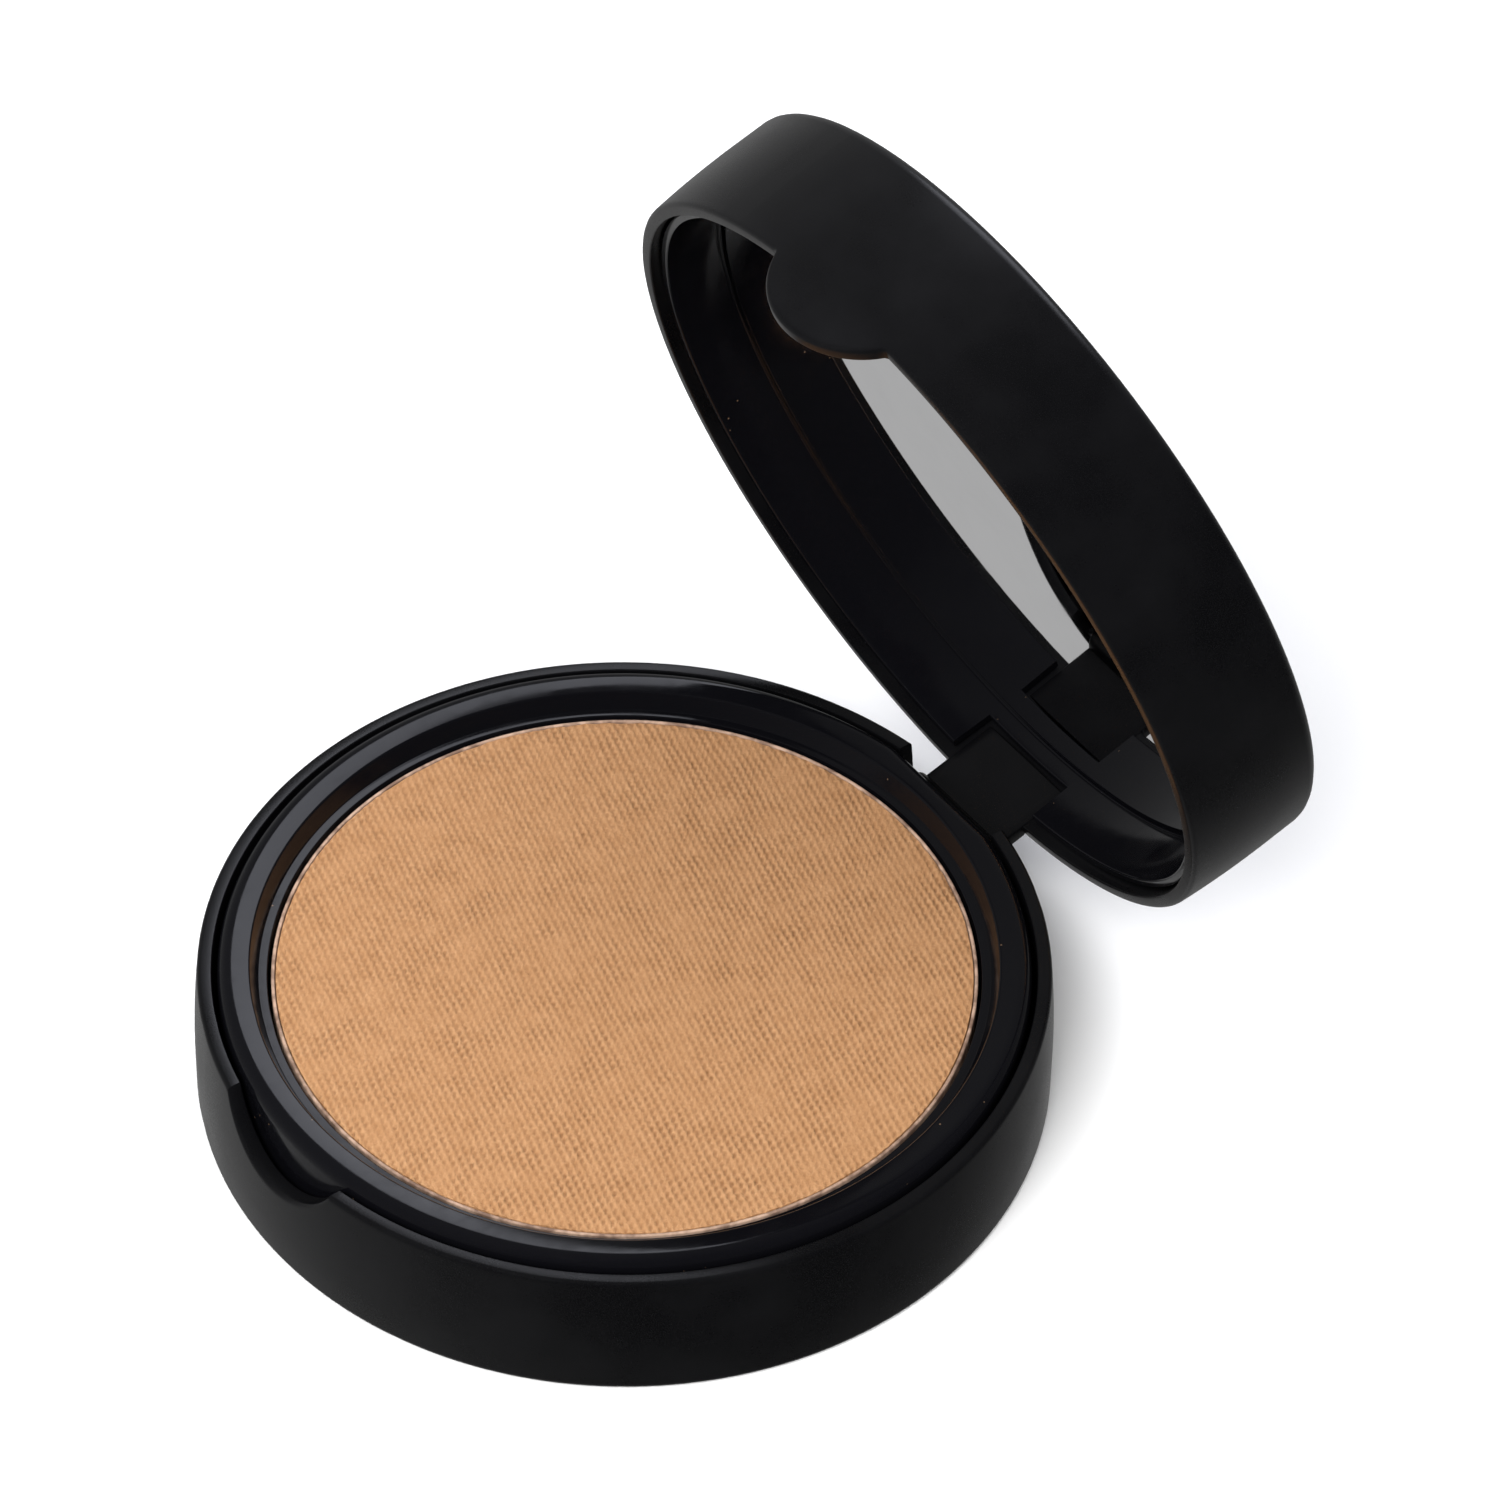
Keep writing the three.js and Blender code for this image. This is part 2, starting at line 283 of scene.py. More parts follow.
def solid(name, mesh, sharp=32):
    """A shown object from a bmesh, facing out, smooth except where it turns by more than sharp degrees."""
    bmesh.ops.recalc_face_normals(mesh, faces=mesh.faces)
    data = bpy.data.meshes.new(name)
    mesh.to_mesh(data)
    mesh.free()
    data.shade_smooth()
    data.set_sharp_from_angle(angle=math.radians(sharp))
    made = bpy.data.objects.new(name, data)
    bpy.context.scene.collection.objects.link(made)
    return made


def bevelled(mesh, width, segments=3):
    """Rounds the sharp edges of a bmesh."""
    mesh.normal_update()
    edges = [e for e in mesh.edges if e.calc_face_angle(0) > math.radians(35)]
    bmesh.ops.bevel(
        mesh, geom=edges, offset=width, segments=segments, profile=0.5, affect="EDGES", clamp_overlap=True
    )
    return mesh


def put(piece, body, slot, finish, *nodes):
    """Gives a piece its finish and its CAD body, and hides the CAD nodes it stands for."""
    if body == "lid":
        piece.data.transform(open_lid)
    piece.data.materials.clear()
    piece.data.materials.append(finish)
    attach(piece, body)
    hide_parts(*nodes)
    return piece


# ---- Finishes ---------------------------------------------------------------


class Finish:
    """A material under construction.

    Patterns are sized in metres and lie on the object's own coordinates.
    """

    def __init__(self, name, colour, roughness, **sockets):
        self.material = bpy.data.materials.new(name)
        self.material.use_nodes = True
        self.tree = self.material.node_tree
        self.shader = self.tree.nodes["Principled BSDF"]
        self.shader.inputs["Base Color"].default_value = (*colour, 1)
        self.shader.inputs["Roughness"].default_value = roughness
        for socket, value in sockets.items():
            self.shader.inputs[socket.replace("_", " ")].default_value = value
        self.place = self.add("ShaderNodeTexCoord").outputs["Object"]
        self.normal = None

    def add(self, kind, inputs=None, **settings):
        made = self.tree.nodes.new(kind)
        for key, value in settings.items():
            setattr(made, key, value)
        for key, value in (inputs or {}).items():
            if isinstance(value, bpy.types.NodeSocket):
                self.tree.links.new(value, made.inputs[key])
            else:
                made.inputs[key].default_value = value
        return made

    def math(self, operation, a, b=0.0):
        return self.add("ShaderNodeMath", {0: a, 1: b}, operation=operation).outputs[0]

    def stretched(self, along):
        """The place, scaled along each axis."""
        return self.add("ShaderNodeMapping", {"Vector": self.place, "Scale": along}).outputs[0]

    def noise(self, size, detail=2.0, roughness=0.5, place=None, distortion=0.0):
        inputs = {
            "Vector": place or self.place,
            "Scale": 1 / size,
            "Detail": detail,
            "Roughness": roughness,
            "Distortion": distortion,
        }
        return self.add("ShaderNodeTexNoise", inputs).outputs["Fac"]

    def spots(self, size, place=None):
        inputs = {"Vector": place or self.place, "Scale": 1 / size}
        return self.add("ShaderNodeTexVoronoi", inputs).outputs["Distance"]

    def remap(self, value, low, high, to_low=0.0, to_high=1.0):
        inputs = {"Value": value, "From Min": low, "From Max": high, "To Min": to_low, "To Max": to_high}
        return self.add("ShaderNodeMapRange", inputs).outputs["Result"]

    def blend(self, share, colour_a, colour_b):
        mixed = self.add("ShaderNodeMix", data_type="RGBA")
        for socket, value in zip((0, 6, 7), (share, colour_a, colour_b)):
            if isinstance(value, bpy.types.NodeSocket):
                self.tree.links.new(value, mixed.inputs[socket])
            else:
                mixed.inputs[socket].default_value = (*value, 1) if socket else value
        return mixed.outputs[2]

    def wave(self, pitch, direction, place):
        """A sine wave across the XY plane, with its crests square to the direction in degrees."""
        turn = math.radians(direction)
        across = (math.cos(turn) / pitch, math.sin(turn) / pitch, 0)
        phase = self.add("ShaderNodeVectorMath", {0: place, 1: across}, operation="DOT_PRODUCT")
        return self.math("SINE", self.math("MULTIPLY", phase.outputs["Value"], 2 * math.pi))

    def colour(self, value):
        self.tree.links.new(value, self.shader.inputs["Base Color"])

    def roughness(self, value):
        self.tree.links.new(value, self.shader.inputs["Roughness"])

    def bump(self, height, depth):
        inputs = {"Height": height, "Distance": depth}
        if self.normal is not None:
            inputs["Normal"] = self.normal
        self.normal = self.add("ShaderNodeBump", inputs).outputs["Normal"]
        self.tree.links.new(self.normal, self.shader.inputs["Normal"])


def satin_black(name):
    """Moulded black plastic with a fine spark grain, worn a little glossier in soft patches."""
    f = Finish(name, (0.003, 0.003, 0.0035), 0.3, Specular_IOR_Level=0.24)
    cloud = f.noise(9 * MM, 3)
    grain = f.noise(0.16 * MM, 2)
    f.colour(f.blend(f.remap(cloud, 0.35, 0.65), (0.0022, 0.0022, 0.0026), (0.0038, 0.0038, 0.0044)))
    worn = f.remap(cloud, 0.3, 0.7, 0.27, 0.34)
    f.roughness(f.math("ADD", worn, f.remap(grain, 0.3, 0.7, -0.03, 0.03)))
    f.bump(grain, 0.004 * MM)
    return f.material


def gloss_black(name, shine, gloss):
    """Polished black plastic with faint handling haze and a few specks of powder dust."""
    f = Finish(name, (0.003, 0.003, 0.004), gloss, Specular_IOR_Level=shine)
    haze = f.noise(5 * MM, 4, 0.6, distortion=0.6)
    smear = f.noise(1.2 * MM, 3, place=f.stretched((1, 0.35, 1)))
    base = f.remap(haze, 0.35, 0.7, gloss - 0.04, gloss + 0.06)
    f.roughness(f.math("ADD", base, f.remap(smear, 0.5, 0.75, 0.0, 0.06)))
    speck = f.remap(f.spots(1.6 * MM), 0.03, 0.06, 1, 0)
    sparse = f.remap(f.noise(4 * MM, 1), 0.56, 0.6)
    dust = f.math("MULTIPLY", f.math("MULTIPLY", speck, sparse), 0.5)
    f.colour(f.blend(dust, (0.003, 0.003, 0.004), (0.30, 0.19, 0.11)))
    f.bump(f.noise(2.2 * MM, 2), 0.004 * MM)
    return f.material


def pressed(name):
    """Pressed powder, printed by the cloth it was pressed through, with painted shade in the cloth's
    grooves and grain hollows.
    """
    f = Finish(name, (0.6, 0.33, 0.165), 0.92, Specular_IOR_Level=0.15)
    drift = f.noise(6 * MM, 1)
    slack = (0.4 * MM, 0.4 * MM, 0)
    moved = f.add("ShaderNodeVectorMath", {0: drift, 1: slack, 2: f.place}, operation="MULTIPLY_ADD")
    cloth = moved.outputs["Vector"]
    strength = f.remap(f.noise(2.5 * MM, 2), 0.3, 0.7, 0.45, 1.5)
    main = f.wave(0.655 * MM, 75, cloth)
    second = f.wave(0.375 * MM, 43, cloth)
    third = f.wave(0.63 * MM, 12.5, cloth)
    weave = f.math("ADD", main, f.math("MULTIPLY", second, 0.45))
    weave = f.math("ADD", weave, f.math("MULTIPLY", third, 0.35))
    weave = f.math("MULTIPLY", weave, strength)
    grains = f.noise(0.12 * MM, 3, 0.7)
    clumps = f.noise(0.42 * MM, 2, 0.6)
    tone = f.remap(f.noise(1.1 * MM, 4, 0.65), 0.3, 0.7)
    base = f.blend(tone, (0.46, 0.239, 0.110), (0.545, 0.300, 0.148))
    # Painted shade: where the weave and grain heights are low, the colour darkens toward deep brown in
    # place of the shade that falls in those hollows.
    groove_shade = f.remap(f.math("ADD", weave, f.remap(grains, 0.2, 0.8, -1.2, 1.2)), -2.4, 1.0, 0.75, 0.0)
    base = f.blend(f.remap(grains, 0.58, 0.72, 0.0, 0.7), base, (0.66, 0.41, 0.235))
    f.colour(f.blend(groove_shade, base, (0.25, 0.11, 0.045)))
    f.bump(weave, 0.036 * MM)
    f.bump(clumps, 0.10 * MM)
    f.bump(grains, 0.09 * MM)
    return f.material


def brushed_metal(name, colour, roughness, along):
    f = Finish(name, colour, roughness, Metallic=1.0)
    lines = f.noise(0.25 * MM, 3, place=f.stretched(along))
    f.roughness(f.remap(lines, 0.3, 0.7, roughness - 0.06, roughness + 0.08))
    f.bump(lines, 0.002 * MM)
    return f.material


def dusted_metal(name):
    """Pressed tin whose bare surface is filmed with powder."""
    f = Finish(name, (0.3, 0.2, 0.14), 0.7)
    film = f.remap(f.noise(1.5 * MM, 3, 0.6), 0.40, 0.62)
    drawn = f.noise(0.25 * MM, 3, place=f.stretched((1, 1, 0.1)))
    f.colour(f.blend(film, (0.20, 0.125, 0.09), (0.50, 0.34, 0.25)))
    f.roughness(f.remap(drawn, 0.3, 0.7, 0.55, 0.8))
    f.bump(drawn, 0.004 * MM)
    return f.material


def silvered(name):
    """Mirror glass with faint finger haze."""
    f = Finish(name, (0.9, 0.9, 0.91), 0.02, Metallic=1.0)
    haze = f.noise(7 * MM, 4, 0.6, distortion=0.4)
    f.roughness(f.remap(haze, 0.5, 0.8, 0.015, 0.06))
    f.colour(f.blend(f.remap(haze, 0.4, 0.8), (0.9, 0.9, 0.91), (0.86, 0.86, 0.87)))
    return f.material


def label_film(name):
    """Dark satin sticker with a fine printed ring near its edge."""
    f = Finish(name, (0.02, 0.02, 0.022), 0.5)
    flat = f.add("ShaderNodeVectorMath", {0: f.place, 1: (1, 1, 0)}, operation="MULTIPLY")
    radius = f.add("ShaderNodeVectorMath", {0: flat.outputs[0]}, operation="LENGTH").outputs["Value"]
    ring_radius = label_high.x - 1.6 * MM
    off = f.math("ABSOLUTE", f.math("SUBTRACT", radius, ring_radius))
    ring = f.remap(off, 0.10 * MM, 0.16 * MM, 1, 0)
    fibre = f.noise(0.3 * MM, 3)
    plain = f.blend(fibre, (0.016, 0.016, 0.018), (0.028, 0.028, 0.03))
    f.colour(f.blend(ring, plain, (0.35, 0.35, 0.36)))
    f.roughness(f.remap(fibre, 0.3, 0.7, 0.42, 0.58))
    f.bump(fibre, 0.004 * MM)
    return f.material


def soft_filler(name, colour, dark, size):
    """Glue or foam: pale, mottled and slightly lumpy."""
    f = Finish(name, colour, 0.6)
    lumps = f.noise(size, 3)
    f.colour(f.blend(lumps, colour, dark))
    f.roughness(f.remap(lumps, 0.3, 0.7, 0.5, 0.75))
    f.bump(lumps, 0.05 * MM)
    return f.material


# ---- Shells -----------------------------------------------------------------


def side_radius(up, height):
    """Radius of a shell's swelling side, this far above its closed end."""
    start = height * FULL_SIDE_SHARE
    share = min(1.0, max(0.0, (up - start) / (height - start)))
    return outer_radius - SIDE_SWELL * share * share


def cup(height, level, edge_round, recess=()):
    """Outline of a shell with its closed end down and its rim at a level."""
    start = height * FULL_SIDE_SHARE
    stop = level - 1.5 * RIM_ROUND
    bands = 8
    side = []
    for k in range(bands + 1):
        up = start + (stop - start) * k / bands
        side.append((side_radius(up, height), up, 0))
    closed_end = list(recess) or [(0, 0, 0)]
    return rounded(
        [
            *closed_end,
            (outer_radius, 0, edge_round),
            *side,
            (side_radius(level, height), level, RIM_ROUND),
            (bore_radius, level, RIM_INNER_ROUND),
            (bore_radius, FLOOR, FLOOR_FILLET),
            (0, FLOOR, 0),
        ]
    )


def base_level(station):
    """Height of the base's rim: lower in the tongue's notch, and down to the floor of the hinge slot."""
    if station.x is None:
        return base_height
    if not station.front:
        return SLOT_FLOOR if abs(station.x) < SLOT_HALF else base_height
    if abs(station.x) >= NOTCH_RADIUS:
        return base_height
    arc = tongue_centre - math.sqrt(NOTCH_RADIUS**2 - station.x**2)
    return min(base_height, arc)


def base_shell(finish):
    depth = label_high.z + LABEL_GAP
    radius = label_high.x + LABEL_GAP
    recess = [(0, depth, 0), (radius, depth, CRISP_ROUND), (radius, 0, RECESS_ROUND)]
    around = stations(0.3 * MM, 0.8 * MM, [SLOT_HALF])
    made = skin("base_body", around, lambda s: cup(base_height, base_level(s), BASE_EDGE_ROUND, recess))
    return put(made, "base", "base_plastic", finish, "base_shell")


def hinge_ears(finish):
    """The two blocks beside the slot that carry the pin."""
    outline = [
        (EAR_INNER_Y, EAR_BOTTOM),
        (EAR_OUTER_Y, EAR_BOTTOM),
        (EAR_OUTER_Y, EAR_TOP),
        (EAR_INNER_Y, EAR_TOP),
    ]
    for side, name in ((-1, "hinge_ear_left"), (1, "hinge_ear_right")):
        ends = sorted((side * SLOT_HALF, side * EAR_OUTER))
        made = solid(name, bevelled(extrude([(x, outline) for x in ends]), EAR_ROUND))
        put(made, "base", "base_plastic", finish, "base_shell")


def lid_level(station):
    """Height of the lid's rim above its closed end: it rises into the tongue at the front."""
    if station.x is None or not station.front or abs(station.x) >= TONGUE_RADIUS:
        return lid_height
    arc = lid_top - tongue_centre + math.sqrt(TONGUE_RADIUS**2 - station.x**2)
    return max(lid_height, arc)


def lid_shell(finish):
    around = stations(0.3 * MM, 1.2 * MM)

    def outline(station):
        return [(r, lid_top - up) for r, up in cup(lid_height, lid_level(station), LID_EDGE_ROUND)]

    made = skin("lid_body", around, outline)
    return put(made, "lid", "lid_plastic", finish, "lid_shell")


def hinge_lug(finish):
    """Flat-faced plate on the lid's back wall that ends in the barrel round the pin."""
    outlines = []
    bands = 12
    top = lid_rim + LUG_REACH
    for k in range(bands + 1):
        x = LUG_HALF * (2 * k / bands - 1)
        back = math.sqrt(rim_radius**2 - x * x)
        buried = math.sqrt((rim_radius - LUG_BURIED) ** 2 - x * x)
        outline = [(buried, lid_rim + LUG_BURIED), (buried, top), (LUG_FACE_Y, top)]
        start = math.atan2(
            math.sqrt(BARREL_RADIUS**2 - (LUG_FACE_Y - hinge_at.y) ** 2), LUG_FACE_Y - hinge_at.y
        )
        end = 2 * math.pi + math.atan2(
            math.sqrt(BARREL_RADIUS**2 - (back - hinge_at.y) ** 2), back - hinge_at.y
        )
        turns = 28
        for n in range(turns + 1):
            angle = start + (end - start) * n / turns
            y = hinge_at.y + BARREL_RADIUS * math.cos(angle)
            z = hinge_at.z + BARREL_RADIUS * math.sin(angle)
            outline.append((y, z))
        outline.append((back, lid_rim - CRISP_ROUND))
        outlines.append((x, outline))
    made = solid("hinge_lug", bevelled(extrude(outlines), LUG_ROUND))
    return put(made, "lid", "lid_plastic", finish, "lid_shell")


def catch_bead(finish):
    """Round-ended bead across the tongue's inner face."""
    centre_y = -(bore_radius + CATCH_RADIUS - CATCH_PROUD)
    centre_z = lid_rim - TONGUE_DROP + CATCH_LIFT
    outlines = []
    bands = 10
    around = 24
    for k in range(-bands, bands + 1):
        turn = math.pi / 2 * k / bands * 0.98
        length = CATCH_HALF - CATCH_RADIUS
        x = math.copysign(length, k) + CATCH_RADIUS * math.sin(turn) if k else 0
        radius = CATCH_RADIUS * math.cos(turn)
        ring = [2 * math.pi * n / around for n in range(around)]
        outline = [(centre_y + radius * math.cos(a), centre_z + radius * math.sin(a)) for a in ring]
        outlines.append((x, outline))
    made = solid("catch_bead", extrude(outlines))
    return put(made, "lid", "lid_plastic", finish, "lid_shell")


# ---- Tray, pan and powder ---------------------------------------------------


def inner_tray(finish):
    """Glossy collar with the well that holds the pan.

    Its back is flat, and open underneath, at the hinge.
    """
    collar_inner = tray_radius - COLLAR_BAND
    lip_outer = collar_inner - COLLAR_SLOPE
    well_radius = lip_outer - LIP_WIDTH
    lip_top = pan_high.z + LIP_RISE
    floor_top = pan_low.z - GLUE_ROOM
    roof = collar_top - COLLAR_DIP - TRAY_WALL
    shoulder_end = collar_top - COLLAR_DIP

    def flattened(station, radius):
        if station.x is None or station.front or abs(station.x) > RELIEF_HALF:
            return radius
        return min(radius, math.sqrt(TRAY_FLAT_Y**2 + station.x**2))

    def outline(station):
        relief = station.x is not None and not station.front and abs(station.x) < RELIEF_HALF
        bottom = roof - RELIEF_SKIRT if relief else tray_bottom
        outer = flattened(station, tray_radius)
        return rounded(
            [
                (0, floor_top - TRAY_WALL, 0),
                (well_radius + TRAY_WALL, floor_top - TRAY_WALL, SOFT_ROUND),
                (well_radius + TRAY_WALL, roof, CRISP_ROUND),
                (outer - TRAY_WALL, roof, CRISP_ROUND),
                (outer - TRAY_WALL, bottom, CRISP_ROUND),
                (outer, bottom, CRISP_ROUND),
                (outer, collar_top, COLLAR_SHOULDER),
                (collar_inner, shoulder_end, SOFT_ROUND),
                (lip_outer, lip_top, LIP_ROUND),
                (well_radius, lip_top, LIP_ROUND),
                (well_radius, floor_top, SOFT_ROUND),
                (0, floor_top, 0),
            ],
            6,
        )

    made = skin("collar_tray", stations(1.2 * MM, 0.6 * MM, [RELIEF_HALF]), outline)
    return put(made, "base", "tray_plastic", finish, "inner_tray")


def powder_pan(finish):
    radius = pan_high.x
    inner = radius - PAN_WALL
    corners = [
        (0, pan_low.z, 0),
        (radius, pan_low.z, 2 * PAN_WALL),
        (radius, pan_high.z, PAN_WALL * 0.45),
        (inner, pan_high.z, PAN_WALL * 0.45),
        (inner, pan_low.z + PAN_WALL, PAN_WALL),
        (0, pan_low.z + PAN_WALL, 0),
    ]
    made = skin("metal_pan", even_stations(240), lambda s: rounded(corners))
    return put(made, "base", "pan_metal", finish, "powder_pan")


def pressed_powder(finish):
    """Cake of powder with a low dome, faint unevenness and a crumbled edge."""
    radius = powder_high.x
    dome = 0.15 * MM
    rings = 40
    edge_drop = 0.22 * MM
    foot = 0.2 * MM
    worn_width = 0.5 * MM
    ripple_height = 0.02 * MM
    ripples_per_metre = 350

    def crumble(angle):
        around = Vector((math.cos(angle), math.sin(angle), 0))
        coarse = noise.noise(around * 9)
        fine = noise.noise(around * 55 + Vector((3, 1, 0)))
        return max(0.0, 0.35 + coarse * 0.6 + fine * 0.9)

    def outline(station):
        chipped = crumble(station.angle)
        points = [(0, powder_low.z)]
        points.append((radius - foot, powder_low.z))
        points.append((radius, powder_low.z + foot))
        points.append((radius, powder_high.z - dome - edge_drop * (1.5 + chipped)))
        points.append((radius - 0.05 * MM, powder_high.z - dome - edge_drop * chipped * 0.8))
        shoulder = radius - (0.12 + 0.10 * chipped) * MM
        for k in range(rings + 1):
            share = k / rings
            r = shoulder * (1 - share)
            x, y = station.place(max(r, 1e-6))
            swell = dome * (1 - (r / radius) ** 2)
            ripple = noise.noise(Vector((x, y, 0)) * ripples_per_metre) * ripple_height
            edge = edge_drop * 0.35 * chipped * max(0.0, 1 - (shoulder - r) / worn_width) ** 2
            points.append((r, powder_high.z - dome + swell - ripple_height + ripple * share - edge))
        points[-1] = (0, powder_high.z - ripple_height)
        return points

    made = skin("powder_cake", even_stations(360), outline)
    return put(made, "base", "powder", finish, "pressed_powder")


def base_label(finish):
    corners = [
        (0, label_low.z, 0),
        (label_high.x, label_low.z, LABEL_ROUND),
        (label_high.x, label_high.z, LABEL_ROUND),
        (0, label_high.z, 0),
    ]
    made = skin("underside_label", even_stations(160), lambda s: rounded(corners))
    return put(made, "base", "label", finish, "base_label")


def hinge_pin(finish):
    """Round steel pin with chamfered ends."""
    radius = (pin_high.z - pin_low.z) / 2
    chamfer = 0.15 * MM
    sides = 40
    sections = [
        (pin_low.x, radius - chamfer),
        (pin_low.x + chamfer, radius),
        (pin_high.x - chamfer, radius),
        (pin_high.x, radius - chamfer),
    ]
    turns = [2 * math.pi * n / sides for n in range(sides)]
    outlines = []
    for x, r in sections:
        ring = [(hinge_at.y + r * math.cos(a), hinge_at.z + r * math.sin(a)) for a in turns]
        outlines.append((x, ring))
    made = solid("steel_pin", extrude(outlines))
    return put(made, "base", "pin_steel", finish, "hinge_pin")


# ---- Mirror and liner -------------------------------------------------------


def mirror_liner(finish):
    """Cup in the lid behind and round the mirror, cut away round the hinge lug."""
    radius = liner_high.x
    bore = radius - LINER_WALL
    floor = liner_high.z - LINER_WALL
    half = LUG_HALF + LUG_RELIEF
    lug_top = lid_rim + LUG_REACH + LUG_RELIEF
    ridge = mirror_low.z - MIRROR_SEAM

    def outline(station):
        at_lug = station.x is not None and not station.front and abs(station.x) < half
        edge = lug_top if at_lug else liner_low.z
        return rounded(
            [
                (0, floor, 0),
                (bore, floor, SOFT_ROUND),
                (bore, ridge, 0),
                (bore - RIDGE_PROUD, ridge, 0.04 * MM),
                (bore - RIDGE_PROUD, ridge - RIDGE_PROUD, CRISP_ROUND),
                (bore, ridge - RIDGE_PROUD, 0),
                (bore, edge, LINER_ROUND),
                (radius, edge, LINER_ROUND),
                (radius, liner_high.z, SOFT_ROUND),
                (0, liner_high.z, 0),
            ]
        )

    made = skin("mirror_surround", stations(1.2 * MM, 0.8 * MM, [half]), outline)
    return put(made, "lid", "liner_plastic", finish, "mirror_liner")


def mirror(finish):
    radius = mirror_high.x
    corners = [
        (0, mirror_low.z, 0),
        (radius - MIRROR_BEVEL, mirror_low.z, MIRROR_SEAM),
        (radius, mirror_low.z + MIRROR_BEVEL / 2, MIRROR_SEAM),
        (radius, mirror_high.z, CRISP_ROUND),
        (0, mirror_high.z, 0),
    ]
    made = skin("mirror_glass", even_stations(240), lambda s: rounded(corners))
    return put(made, "lid", "mirror_glass", finish, "mirror")


# ---- Stage ------------------------------------------------------------------


def floor():
    """Pale sheet under the compact. Glossy surfaces see the backdrop in its place."""
    half = 3.0
    corners = [(-half, -half, 0), (half, -half, 0), (half, half, 0), (-half, half, 0)]
    data = bpy.data.meshes.new("floor")
    data.from_pydata(corners, [], [(0, 1, 2, 3)])
    made = bpy.data.objects.new("floor", data)
    bpy.context.scene.collection.objects.link(made)
    f = Finish("pale_floor", (0.93, 0.93, 0.93), 0.7, Specular_IOR_Level=0.2)
    f.colour(f.blend(f.noise(0.4, 2), (0.92, 0.92, 0.92), (0.94, 0.94, 0.94)))
    data.materials.append(f.material)
    made.visible_glossy = False


def toward(azimuth, elevation):
    """Direction away from the compact. Azimuth 0 is in front of it and a quarter turn at its +X side."""
    level = math.cos(elevation)
    return Vector((math.sin(azimuth) * level, -math.cos(azimuth) * level, math.sin(elevation)))


def softbox(name, azimuth, elevation, width, height, radiance, colour=(1, 1, 1), mirrored=False):
    """Area light that faces the compact, from these degrees. Glossy surfaces show it only if mirrored."""
    distance = 0.8
    away = toward(math.radians(azimuth), math.radians(elevation))
    data = bpy.data.lights.new(name, "AREA")
    data.shape = "RECTANGLE"
    data.size = width
    data.size_y = height
    data.energy = radiance * math.pi * width * height
    data.color = colour
    made = bpy.data.objects.new(name, data)
    made.location = (cad_low + cad_high) / 2 + away * distance
    made.rotation_euler = away.to_track_quat("Z", "Y").to_euler()
    made.visible_glossy = mirrored
    bpy.context.scene.collection.objects.link(made)


def backdrop():
    """White surroundings, brighter toward -X and toward the floor."""
    world = bpy.data.worlds.new("studio")
    world.use_nodes = True
    nodes, links = world.node_tree.nodes, world.node_tree.links
    split = nodes.new("ShaderNodeSeparateXYZ")
    links.new(nodes.new("ShaderNodeTexCoord").outputs["Generated"], split.inputs[0])

    def falling(axis, start, end, high, low):
        made = nodes.new("ShaderNodeMapRange")
        for key, value in {"From Min": start, "From Max": end, "To Min": high, "To Max": low}.items():
            made.inputs[key].default_value = value
        links.new(split.outputs[axis], made.inputs["Value"])
        return made.outputs["Result"]

    both = nodes.new("ShaderNodeMath")
    both.operation = "MULTIPLY"
    links.new(falling("X", -0.55, 0.6, 0.42, 0.05), both.inputs[0])
    links.new(falling("Z", -0.5, 0.8, 1.0, 0.5), both.inputs[1])
    nodes["Background"].inputs["Color"].default_value = (1, 1, 1, 1)
    links.new(both.outputs[0], nodes["Background"].inputs["Strength"])
    bpy.context.scene.world = world


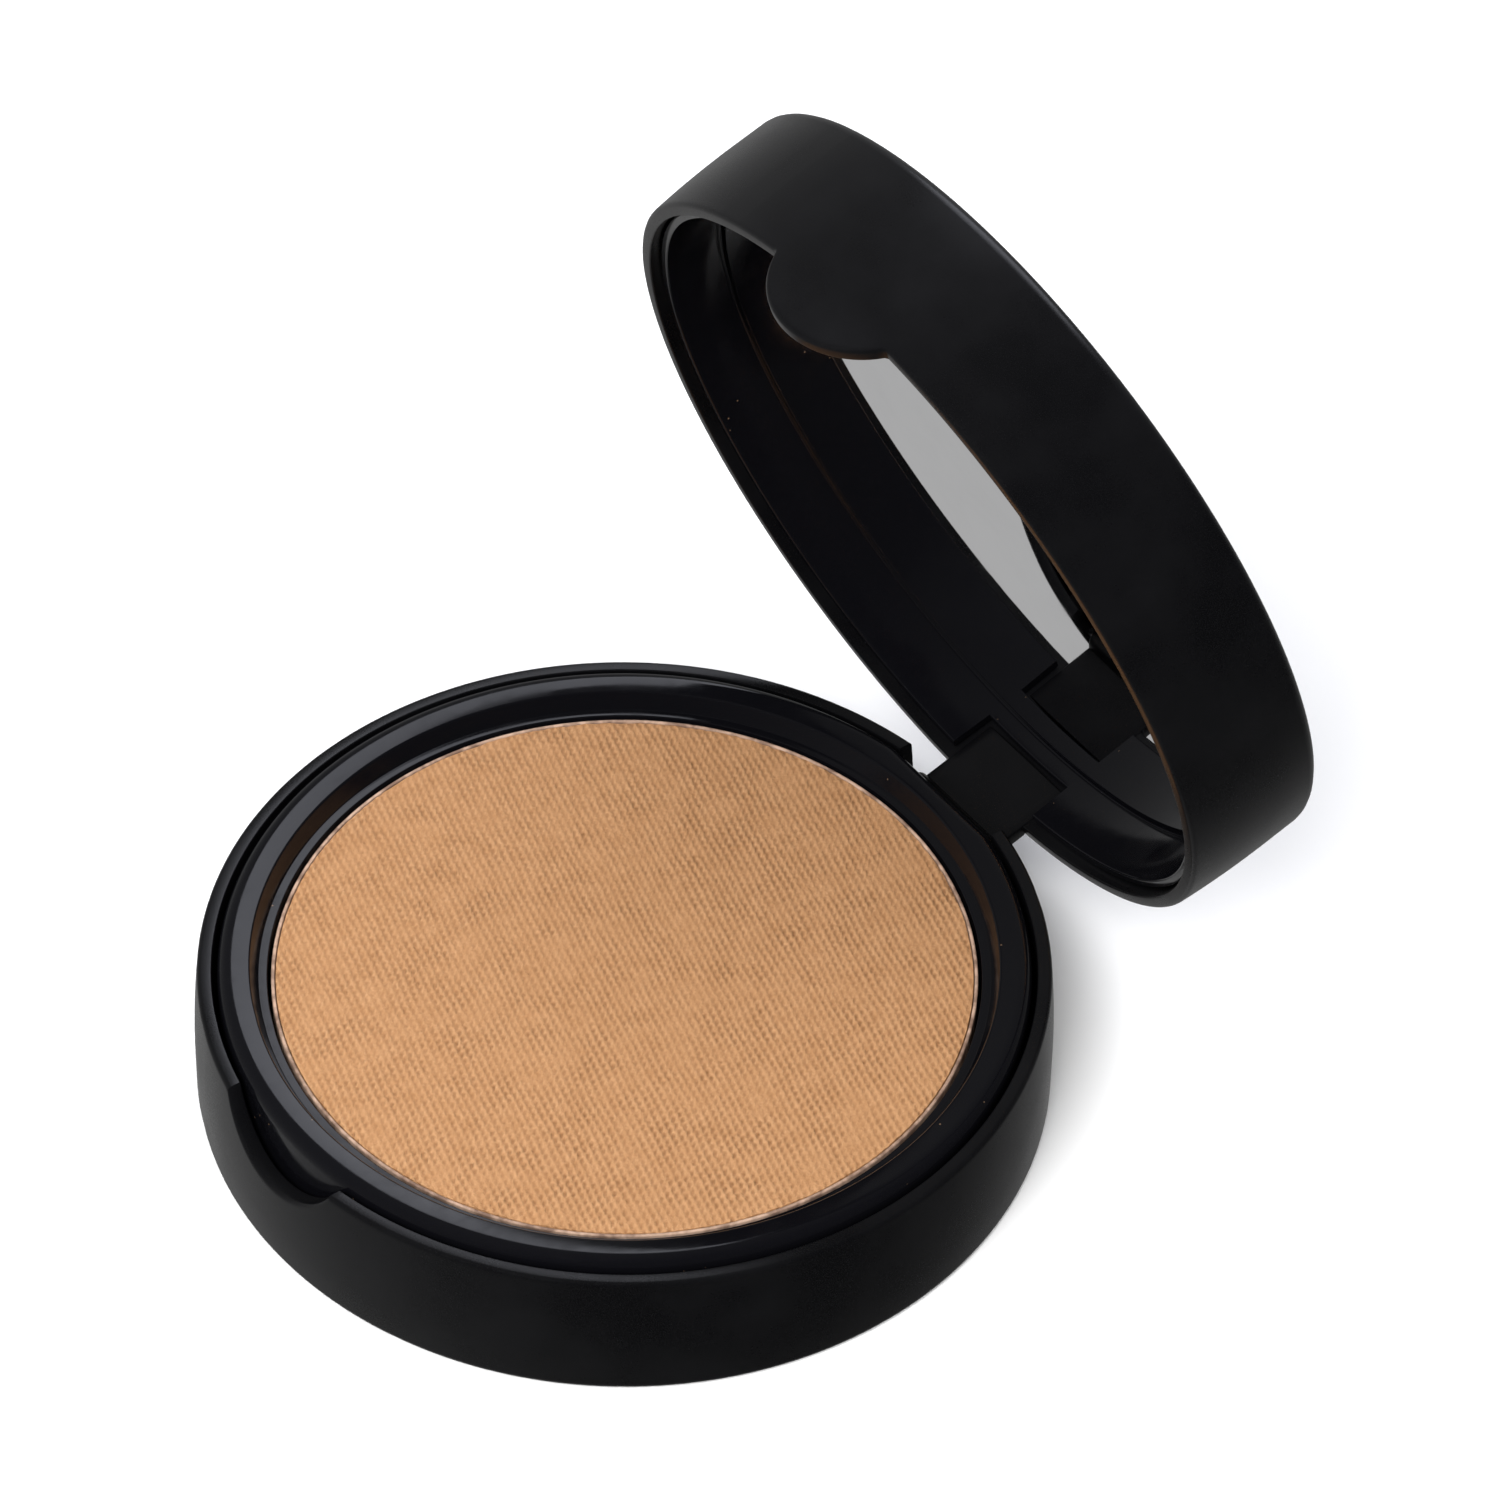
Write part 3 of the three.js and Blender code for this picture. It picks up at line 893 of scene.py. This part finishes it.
def studio():
    floor()
    backdrop()
    softbox("top_box", 40, 72, 1.0, 1.0, 1.2)
    softbox("front_box", 25, 46, 0.5, 0.5, 11.0)
    softbox("fill_box", 118, 36, 0.7, 0.5, 2.2)
    softbox("back_box", -152, 45, 0.6, 0.45, 3.8, (0.88, 0.90, 1.0), mirrored=True)
    bpy.context.scene.view_settings.view_transform = "Standard"


def camera():
    """Long lens from the front right, as the compact is looked down on."""
    azimuth, elevation, roll = (math.radians(d) for d in (52.36, 45.15, 1.48))
    distance = 0.6
    span = 126.3 * MM
    aim = Vector((-7.8, 18.57, 20.0)) * MM
    back = toward(azimuth, elevation)
    level = Vector((math.cos(azimuth), math.sin(azimuth), 0))
    up = back.cross(level)
    right = level * math.cos(roll) + up * math.sin(roll)
    data = bpy.data.cameras.new("camera")
    data.sensor_width = 36
    data.lens = data.sensor_width * distance / span
    data.clip_start = 0.01
    data.clip_end = 20
    made = bpy.data.objects.new("camera", data)
    made.matrix_world = Matrix.Translation(aim + back * distance) @ Matrix(
        (right, back.cross(right), back)
    ).transposed().to_4x4()
    bpy.context.scene.collection.objects.link(made)
    bpy.context.scene.camera = made


# ---- Assembly ---------------------------------------------------------------

camera()
studio()

shell_plastic = satin_black("satin_black_plastic")
tray_plastic = gloss_black("gloss_black_plastic", 0.22, 0.12)
liner_plastic = gloss_black("liner_black_plastic", 0.3, 0.12)

base_shell(shell_plastic)
hinge_ears(shell_plastic)
inner_tray(tray_plastic)
powder_pan(dusted_metal("pan_metal"))
pressed_powder(pressed("pressed_powder"))
base_label(label_film("label_film"))
hinge_pin(brushed_metal("pin_steel", (0.6, 0.6, 0.61), 0.25, (0.1, 1, 1)))
lid_shell(shell_plastic)
hinge_lug(shell_plastic)
catch_bead(shell_plastic)
mirror_liner(liner_plastic)
mirror(silvered("mirror_silver"))

hidden = {
    "pan_glue": soft_filler("glue", (0.75, 0.68, 0.50), (0.62, 0.55, 0.38), 3 * MM),
    "mirror_tape": soft_filler("foam_tape", (0.85, 0.85, 0.83), (0.72, 0.72, 0.70), 0.6 * MM),
}
for node_name, finish in hidden.items():
    frame["nodes"][node_name].data.materials.clear()
    frame["nodes"][node_name].data.materials.append(finish)
